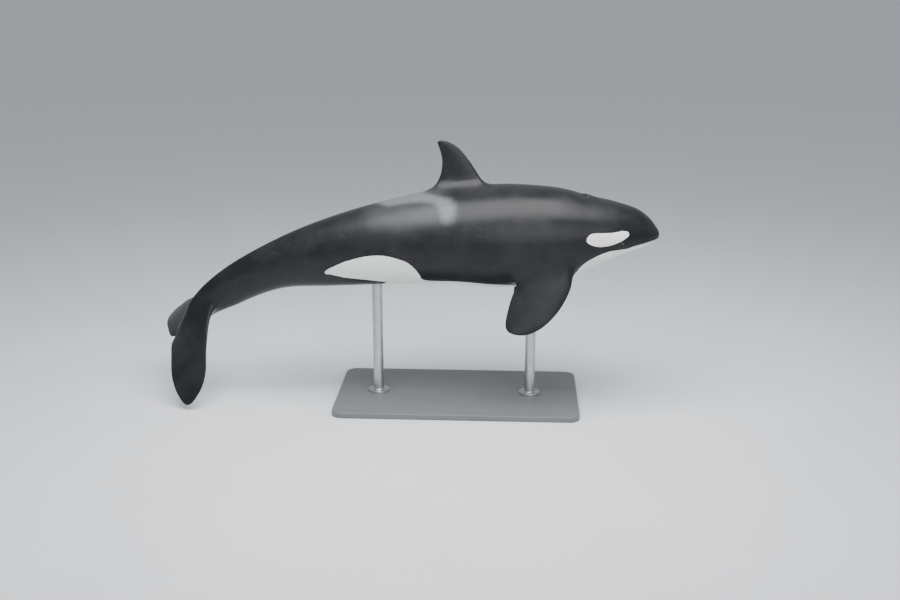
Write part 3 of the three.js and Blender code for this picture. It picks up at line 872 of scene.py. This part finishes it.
def fluke_underside(co):
    """How far each point lies inside the white of the flukes' underside, which leaves their edges black."""
    across = np.abs(co[:, 1]) / LENGTH
    at = -co[:, 0] / LENGTH
    t = np.linspace(0, 1, 200)
    lead, trail = spline(FLUKE["lead"], t), spline(FLUKE["trail"], t)
    front = np.interp(across, lead[:, 1], lead[:, 0])
    back = np.interp(across, trail[:, 1], trail[:, 0])
    begins = FLUKE_WHITE_FROM + FLUKE_WHITE_NOTCH * hump(across, FLUKE_NOTCH_WIDTH)
    margin = np.minimum(at - np.maximum(front, begins), back - at) * LENGTH
    to_tip = (FLUKE_HALF_SPAN - across) * LENGTH / 2
    below = -co[:, 2] - fluke_sag(across) * LENGTH
    return np.minimum(np.minimum(margin, to_tip) - FLUKE_BLACK_EDGE, below - FLUKE_WHITE_DEPTH)


def share_of(size, distance):
    return np.clip(distance / np.maximum(size, 1e-4), -1.5, 1.5)


def mark_skin(mesh, co):
    """Writes onto the mesh what the skin's material reads, from the straight animal."""
    at = -co[:, 0] / LENGTH
    high = np.where(co[:, 2] > 0, outline(at, BACK), outline(at, BELLY)) * LENGTH
    rise = share_of(high, co[:, 2])
    wide = share_of(outline(at, HALF) * LENGTH, np.abs(co[:, 1]))
    cosine = wide ** (1 / section_power(at, rise))
    flat = unrolled(at, np.degrees(np.arctan2(rise, cosine)))
    share_out = np.hypot(rise, cosine)
    on_fin = np.maximum((share_out - 1) * high - PLAIN_RELIEF, 0)
    white = np.maximum(marking(flat, EYE_PATCH), marking(flat, WHITE_UNDERSIDE)) - WHITE_ENDS * on_fin
    white = np.where(at > UNDERSIDE_TO, NO_WHITE, white)
    white = np.where(at > FLUKES_FROM, np.maximum(white, fluke_underside(co)), white)
    fields = {
        "white": white,
        "grey": marking(flat, SADDLE) - GREY_ENDS * on_fin,
        "hook": marking(flat, SADDLE_HOOK) - GREY_ENDS * on_fin,
        "to_mouth": np.minimum(nearest(co, MOUTH_LINE, MOUTH_NEAR)[0], MOUTH_NEAR),
        "on_body": np.where((share_out > OFF_BODY) | (at > FLUKES_FROM), 0, 1),
    }
    for name, values in fields.items():
        mesh.attributes.new(name, "FLOAT", "POINT").data.foreach_set("value", values.astype(np.float32))
    write_vectors(mesh, "straight", co)
    write_vectors(mesh, "unrolled", np.column_stack([flat, co[:, 1] / 2]))


def make_skin(shift):
    body = body_mesh()
    fins = {
        "dorsal": dorsal_mesh(),
        "flipper_left": flipper_mesh(LEFT),
        "flipper_right": flipper_mesh(RIGHT),
        "flukes": flukes_mesh(),
    }
    swell_roots(body, fins)
    mesh = united(as_object("body", body, 0), [as_object(name, bm, 1) for name, bm in fins.items()])
    co = smooth_seams(mesh, clean_seams(mesh))
    mark_skin(mesh, co)
    mesh.materials.clear()
    mesh.materials.append(skin_material())
    mesh.polygons.foreach_set("material_index", np.zeros(len(mesh.polygons), np.int32))
    mesh.polygons.foreach_set("use_smooth", np.ones(len(mesh.polygons), bool))
    lay_along_spine(mesh, co, shift)
    return placed("skin", mesh)


# Materials

class Nodes:
    """A material and short calls that add its nodes."""

    def __init__(self, name):
        self.material = bpy.data.materials.new(name)
        self.material.use_nodes = True
        self.tree = self.material.node_tree
        self.shader = self.tree.nodes["Principled BSDF"]

    def add(self, kind, inputs=None, **settings):
        node = self.tree.nodes.new("ShaderNode" + kind)
        for name, value in settings.items():
            setattr(node, name, value)
        for name, value in (inputs or {}).items():
            self.put(node.inputs[name], value)
        return node

    def put(self, socket, value):
        if isinstance(value, bpy.types.NodeSocket):
            self.tree.links.new(value, socket)
        else:
            socket.default_value = value

    def attribute(self, name, output="Fac"):
        return self.add("Attribute", attribute_name=name).outputs[output]

    def math(self, operation, a, b=0.5):
        return self.add("Math", {0: a, 1: b}, operation=operation).outputs[0]

    def times(self, a, b):
        return self.math("MULTIPLY", a, b)

    def mapped(self, vector, **settings):
        return self.add("Mapping", {"Vector": vector, **settings}).outputs["Vector"]

    def noise(self, vector, scale, detail, roughness=0.55):
        """Noise with one scale, or with one for each axis."""
        if isinstance(scale, tuple):
            vector, scale = self.mapped(vector, Scale=scale), 1.0
        inputs = {"Vector": vector, "Scale": scale, "Detail": detail, "Roughness": roughness}
        return self.add("TexNoise", inputs).outputs["Fac"]

    def ramp(self, fac, low, high, to_low=0.0, to_high=1.0):
        inputs = {"Value": fac, "From Min": low, "From Max": high, "To Min": to_low, "To Max": to_high}
        return self.add("MapRange", inputs, interpolation_type="SMOOTHSTEP").outputs["Result"]

    def mix(self, fac, a, b):
        return self.add("Mix", {"Factor": fac, "A": a, "B": b}, data_type="RGBA").outputs["Result"]

    def bump(self, height, distance, strength, **under):
        inputs = {"Height": height, "Distance": distance, "Strength": strength, **under}
        return self.add("Bump", inputs).outputs["Normal"]

    def finish(self, **sockets):
        for name, value in sockets.items():
            self.put(self.shader.inputs[name.replace("_", " ")], value)
        return self.material


RAKE_SPACING = 0.021  # between two of the teeth that leave the marks
RAKE_BUNDLE = (0.24, 0.06)  # length and width of a bundle of marks


def rake_marks(n, turn, seed):
    """Thin parallel lines in short bundles, here and there, as teeth leave them."""
    place = n.mapped(n.attribute("unrolled", "Vector"), Rotation=(0, 0, turn))
    place = n.mapped(place, Location=(seed, 2 * seed, 3 * seed))
    scale = 2 * math.pi / 20 / RAKE_SPACING  # the texture's own lines are 2 pi / 20 apart
    inputs = {"Vector": place, "Scale": scale, "Distortion": 1.2, "Detail Scale": 0.12}
    lines = n.add("TexWave", inputs, bands_direction="Y").outputs["Fac"]
    bundles = n.noise(place, (1 / RAKE_BUNDLE[0], 1 / RAKE_BUNDLE[1], 1.0), 1.0, 0.4)
    shown = n.ramp(bundles, 0.66, 0.74)
    return n.times(n.times(n.ramp(lines, 0.94, 1.0), shown), n.attribute("on_body"))


def skin_material():
    n = Nodes("orca_skin")
    place = n.attribute("straight", "Vector")
    wobble = n.times(n.math("SUBTRACT", n.noise(place, 11.0, 4.0), 0.5), 0.016)
    white = n.ramp(n.math("ADD", n.attribute("white"), wobble), -0.003, 0.003)
    streaks = n.noise(place, (5.0, 26.0, 26.0), 3.0, 0.6)
    ragged = n.times(wobble, 3.0)
    saddle = n.ramp(n.math("ADD", n.attribute("grey"), ragged), -0.1, 0.18, 0.0, 0.3)
    hook = n.ramp(n.math("ADD", n.attribute("hook"), ragged), -0.07, 0.06)
    grey = n.times(n.math("MAXIMUM", saddle, hook), n.ramp(streaks, 0.2, 0.7, 0.85, 1.0))

    clouds = n.noise(place, 3.2, 4.0, 0.6)
    speckle = n.noise(place, 55.0, 3.0, 0.65)
    marks = n.math("MAXIMUM", rake_marks(n, 0.35, 1.7), rake_marks(n, -0.5, 4.1))
    black = n.mix(n.ramp(clouds, 0.35, 0.7), (0.007, 0.0075, 0.009, 1), (0.014, 0.0145, 0.0155, 1))
    black = n.mix(n.times(n.ramp(speckle, 0.55, 0.8), 0.5), black, (0.024, 0.0245, 0.026, 1))
    black = n.mix(grey, black, (0.115, 0.122, 0.13, 1))
    black = n.mix(n.times(marks, 0.5), black, (0.085, 0.088, 0.092, 1))

    pale = n.mix(n.ramp(clouds, 0.3, 0.75), (0.8, 0.81, 0.8, 1), (0.68, 0.69, 0.675, 1))
    pale = n.mix(n.times(n.ramp(speckle, 0.6, 0.85), 0.35), pale, (0.45, 0.46, 0.45, 1))
    pale = n.mix(n.times(marks, 0.5), pale, (0.42, 0.42, 0.42, 1))
    colour = n.mix(white, black, pale)
    # Painted shade: a near-black line along the mouth line, in its groove, stands in for the shade inside
    # the closed mouth's slit.
    mouth_slit_shade = n.math("SUBTRACT", 1.0, n.ramp(n.attribute("to_mouth"), 0.002, 0.007))
    colour = n.mix(n.times(mouth_slit_shade, 0.9), colour, (0.01, 0.008, 0.008, 1))

    rough = n.math("ADD", n.ramp(clouds, 0.3, 0.7, 0.31, 0.41), n.times(marks, 0.12))
    pores = n.noise(place, 300.0, 2.0, 0.6)
    ripple = n.noise(place, (14.0, 4.0, 4.0), 2.0, 0.5)
    normal = n.bump(ripple, 0.004, 0.4)
    normal = n.bump(pores, 0.0002, 0.3, Normal=normal)
    normal = n.bump(marks, -0.0006, 0.5, Normal=normal)
    return n.finish(Base_Color=colour, Roughness=rough, Normal=normal, Specular_IOR_Level=0.26)


def eye_material():
    n = Nodes("orca_eye")
    gaze = n.attribute("gaze", "Vector")
    parts = n.add("SeparateXYZ", {"Vector": gaze}).outputs
    x, y = parts["X"], parts["Y"]
    radius = n.math("SQRT", n.math("ADD", n.times(x, x), n.times(y, y)))
    fibres = n.noise(gaze, (380.0, 380.0, 380.0), 4.0, 0.7)
    iris = n.mix(n.ramp(fibres, 0.3, 0.7), (0.014, 0.008, 0.005, 1), (0.042, 0.023, 0.013, 1))
    colour = n.mix(n.ramp(radius, 0.0115, 0.0145), iris, (0.012, 0.012, 0.018, 1))
    veins = n.noise(gaze, 260.0, 4.0, 0.6)
    white_of_eye = n.mix(n.ramp(veins, 0.45, 0.65), (0.05, 0.035, 0.032, 1), (0.035, 0.014, 0.012, 1))
    colour = n.mix(n.ramp(radius, 0.015, 0.019), colour, white_of_eye)
    pupil_x, pupil_y = n.math("DIVIDE", x, 0.0075), n.math("DIVIDE", y, 0.0042)
    pupil = n.math("ADD", n.times(pupil_x, pupil_x), n.times(pupil_y, pupil_y))
    colour = n.mix(n.ramp(pupil, 0.8, 1.15), (0.002, 0.002, 0.004, 1), colour)
    return n.finish(Base_Color=colour, Roughness=0.12, Coat_Weight=1.0, Coat_Roughness=0.02, Coat_IOR=1.45)


def plinth_material():
    n = Nodes("stand_paint")
    place = n.add("TexCoord").outputs["Object"]
    grain = n.noise(place, (1.5, 28.0, 6.0), 5.0, 0.6)
    orange_peel = n.noise(place, 160.0, 2.0, 0.5)
    scuffs = n.ramp(n.noise(place, 7.0, 6.0, 0.7), 0.6, 0.75)
    colour = n.mix(n.ramp(grain, 0.3, 0.7), (0.115, 0.12, 0.126, 1), (0.135, 0.14, 0.147, 1))
    colour = n.mix(n.times(scuffs, 0.3), colour, (0.19, 0.195, 0.2, 1))
    normal = n.bump(grain, 0.0008, 0.4)
    normal = n.bump(orange_peel, 0.0003, 0.35, Normal=normal)
    rough = n.ramp(scuffs, 0.0, 1.0, 0.42, 0.6)
    return n.finish(Base_Color=colour, Roughness=rough, Normal=normal)


def rod_material():
    n = Nodes("stand_steel")
    place = n.add("TexCoord").outputs["Object"]
    brushed = n.noise(place, (40.0, 40.0, 900.0), 3.0, 0.6)
    smudges = n.noise(place, 9.0, 4.0, 0.6)
    colour = n.mix(n.ramp(smudges, 0.3, 0.7), (0.5, 0.51, 0.52, 1), (0.42, 0.43, 0.445, 1))
    rough = n.math("ADD", n.ramp(brushed, 0.3, 0.7, 0.26, 0.38), n.ramp(smudges, 0.5, 0.8, 0.0, 0.08))
    normal = n.bump(brushed, 0.0002, 0.4)
    return n.finish(Base_Color=colour, Metallic=1.0, Roughness=rough, Normal=normal)


def floor_material():
    n = Nodes("studio_floor")
    place = n.add("TexCoord").outputs["Object"]
    away = n.add("VectorMath", {0: place}, operation="LENGTH").outputs["Value"]
    patches = n.ramp(n.noise(place, 0.6, 4.0, 0.5), 0.3, 0.7)
    tone = n.times(patches, n.ramp(away, 3.0, 14.0, 1.0, 0.0))
    colour = n.mix(tone, (0.69, 0.7, 0.715, 1), (0.66, 0.67, 0.685, 1))
    return n.finish(Base_Color=colour, Roughness=0.8, Specular_IOR_Level=0.2)


# Eyes

EYE_RINGS, EYE_SIDES = 40, 64


def eye_centre(side):
    origin, _, _, out = on_skin(EYE_AT, side_angle(EYE_ANGLE, side))
    return origin - out * EYE_SUNK


def make_eye(name, side, shift, material):
    """The ball of an eye, with what its material reads: where each point lies, seen along the gaze."""
    _, forward, up, out = on_skin(EYE_AT, side_angle(EYE_ANGLE, side))
    centre = eye_centre(side)
    turn = np.linspace(0, 2 * math.pi, EYE_SIDES, endpoint=False)
    rows = []
    for angle in np.linspace(0, math.pi, EYE_RINGS + 1)[1:-1]:
        r, z = EYE_RADIUS * math.sin(angle), EYE_RADIUS * math.cos(angle)
        rows.append(centre + np.outer(r * np.cos(turn), forward) + np.outer(r * np.sin(turn), up) + z * out)
    ball = loft(rows, start=centre + out * EYE_RADIUS, end=centre - out * EYE_RADIUS)
    eye = mesh_object(name, ball, material)
    co = coordinates(eye.data)
    d = co - centre
    write_vectors(eye.data, "gaze", np.stack([d @ forward, d @ up, d @ out], 1))
    lay_along_spine(eye.data, co, shift)
    return eye


# The stand

BASE_CORNER, BASE_BEVEL = 0.12, 0.008
BEVEL_STEPS, CORNER_STEPS = 6, 17
ROD_RADIUS, ROD_SIDES, ROD_IN_BELLY = 0.055, 96, 0.02
FOOT_RADIUS, FOOT_HEIGHT, FOOT_BEVEL = 0.115, 0.02, 0.005
WELD = 0.012  # radius of the bead where the rod stands on its foot


def bevel(radius):
    """Steps round a quarter circle, each with two distances: one falls to 0, the other grows from 0."""
    angles = np.linspace(0, math.pi / 2, BEVEL_STEPS)
    return [(radius * (1 - math.sin(a)), radius * (1 - math.cos(a))) for a in angles]


def rounded_rectangle(low, high, z, inset):
    left, right = low.x + BASE_CORNER, high.x - BASE_CORNER
    front, back = low.y + BASE_CORNER, high.y - BASE_CORNER
    r = BASE_CORNER - inset
    points = []
    for k, (x, y) in enumerate([(right, back), (left, back), (left, front), (right, front)]):
        for a in np.linspace(k * math.pi / 2, (k + 1) * math.pi / 2, CORNER_STEPS):
            points.append((x + r * math.cos(a), y + r * math.sin(a), z))
    return points


def make_base():
    low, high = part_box("stand_base")
    levels = [(low.z + grows, falls) for falls, grows in bevel(BASE_BEVEL)]
    levels += [(high.z - falls, grows) for falls, grows in bevel(BASE_BEVEL)]
    rows = [rounded_rectangle(low, high, z, inset) for z, inset in levels]
    return mesh_object("base", loft(rows), plinth_material(), 50)


def make_rod(name, node, material):
    """A round rod with a bevelled foot and a bead of weld round its lower end."""
    low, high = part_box(node)
    middle = (low + high) / 2
    foot_top = low.z + FOOT_HEIGHT
    profile = [(FOOT_RADIUS, low.z)]
    profile += [(FOOT_RADIUS - grows, foot_top - falls) for falls, grows in bevel(FOOT_BEVEL)]
    profile += [(ROD_RADIUS + falls, foot_top + grows) for falls, grows in bevel(WELD)]
    profile.append((ROD_RADIUS, high.z + ROD_IN_BELLY))
    turn = np.linspace(0, 2 * math.pi, ROD_SIDES, endpoint=False)
    rows = [[(middle.x + r * math.cos(a), middle.y + r * math.sin(a), z) for a in turn] for r, z in profile]
    return mesh_object(name, loft(rows), material)


# Placing the animal in the frame

def frame_shift():
    """From where bend() lays the animal to its place in the frame, by the middle of its eyes."""
    corners = [c for node in ("eye_left", "eye_right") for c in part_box(node)]
    own = bend(np.array([eye_centre(side) for side in SIDES])).mean(0)
    return np.array(sum(corners, Vector()) / len(corners)) - own


# Camera and light

CAMERA_AZIMUTH, CAMERA_ELEVATION = math.radians(3), math.radians(16.5)
CAMERA_WIDTH = math.radians(42)  # angle of view across
SNOUT_AWAY = 12.22  # how far off the snout tip is, along the line of sight
FRAME_SIZE = (900, 600)
SNOUT_PIXEL = (659.1, 233.9)  # where the snout tip is in it


def make_camera(snout):
    az, el = CAMERA_AZIMUTH, CAMERA_ELEVATION
    ahead = np.array([-math.sin(az) * math.cos(el), math.cos(az) * math.cos(el), -math.sin(el)])
    right = np.array([math.cos(az), math.sin(az), 0.0])
    up = np.cross(right, ahead)
    pixels = FRAME_SIZE[0] / 2 / math.tan(CAMERA_WIDTH / 2)
    aside = (SNOUT_PIXEL[0] - FRAME_SIZE[0] / 2) / pixels * SNOUT_AWAY
    above = (FRAME_SIZE[1] / 2 - SNOUT_PIXEL[1]) / pixels * SNOUT_AWAY
    data = bpy.data.cameras.new("camera")
    data.lens = data.sensor_width / 2 / math.tan(CAMERA_WIDTH / 2)
    camera = placed("camera", data)
    place = snout - right * aside - up * above - ahead * SNOUT_AWAY
    rows = [(right[k], up[k], -ahead[k], place[k]) for k in range(3)]
    camera.matrix_world = Matrix([*rows, (0, 0, 0, 1)])
    bpy.context.scene.camera = camera


def area_light(name, place, target, size, power):
    data = bpy.data.lights.new(name, "AREA")
    data.shape = "RECTANGLE"
    data.size, data.size_y = size
    data.energy = power
    light = placed(name, data)
    light.location = place
    light.rotation_euler = (Vector(target) - Vector(place)).to_track_quat("-Z", "Y").to_euler()


FLOOR_REACH = 400  # so that its far edge stays out of the picture


def make_studio():
    bm = bmesh.new()
    bmesh.ops.create_grid(bm, x_segments=8, y_segments=8, size=FLOOR_REACH)
    floor = mesh_object("floor", bm, floor_material())
    area_light("top", (0.5, -2.0, 7.0), (0, 0, 1.8), (8, 4.5), 1050)
    area_light("front", (3.5, -9.5, 4.5), (0, 0, 1.6), (9, 6), 480)
    world = bpy.data.worlds.new("studio")
    world.use_nodes = True
    background = world.node_tree.nodes["Background"]
    background.inputs["Color"].default_value = (0.88, 0.93, 1.0, 1)
    background.inputs["Strength"].default_value = 0.58
    bpy.context.scene.world = world


FLESH = [
    "head", "lower_jaw", "thorax", "abdomen", "tail_base", "tail_stock", "dorsal_fin",
    "pectoral_fin_left", "pectoral_fin_right", "fluke_left", "fluke_right",
]


def add_piece(piece, slot, *nodes):
    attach(piece, "root")
    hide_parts(*nodes)


shift = frame_shift()
make_camera(shift)  # the snout tip is the straight animal's origin
make_studio()
add_piece(make_skin(shift), "skin_black", *FLESH)
dark = eye_material()
add_piece(make_eye("left_eye", LEFT, shift, dark), "eye", "eye_left")
add_piece(make_eye("right_eye", RIGHT, shift, dark), "eye", "eye_right")
add_piece(make_base(), "stand_plinth", "stand_base")
steel = rod_material()
add_piece(make_rod("front_rod", "stand_rod_front", steel), "stand_rod", "stand_rod_front")
add_piece(make_rod("rear_rod", "stand_rod_rear", steel), "stand_rod", "stand_rod_rear")
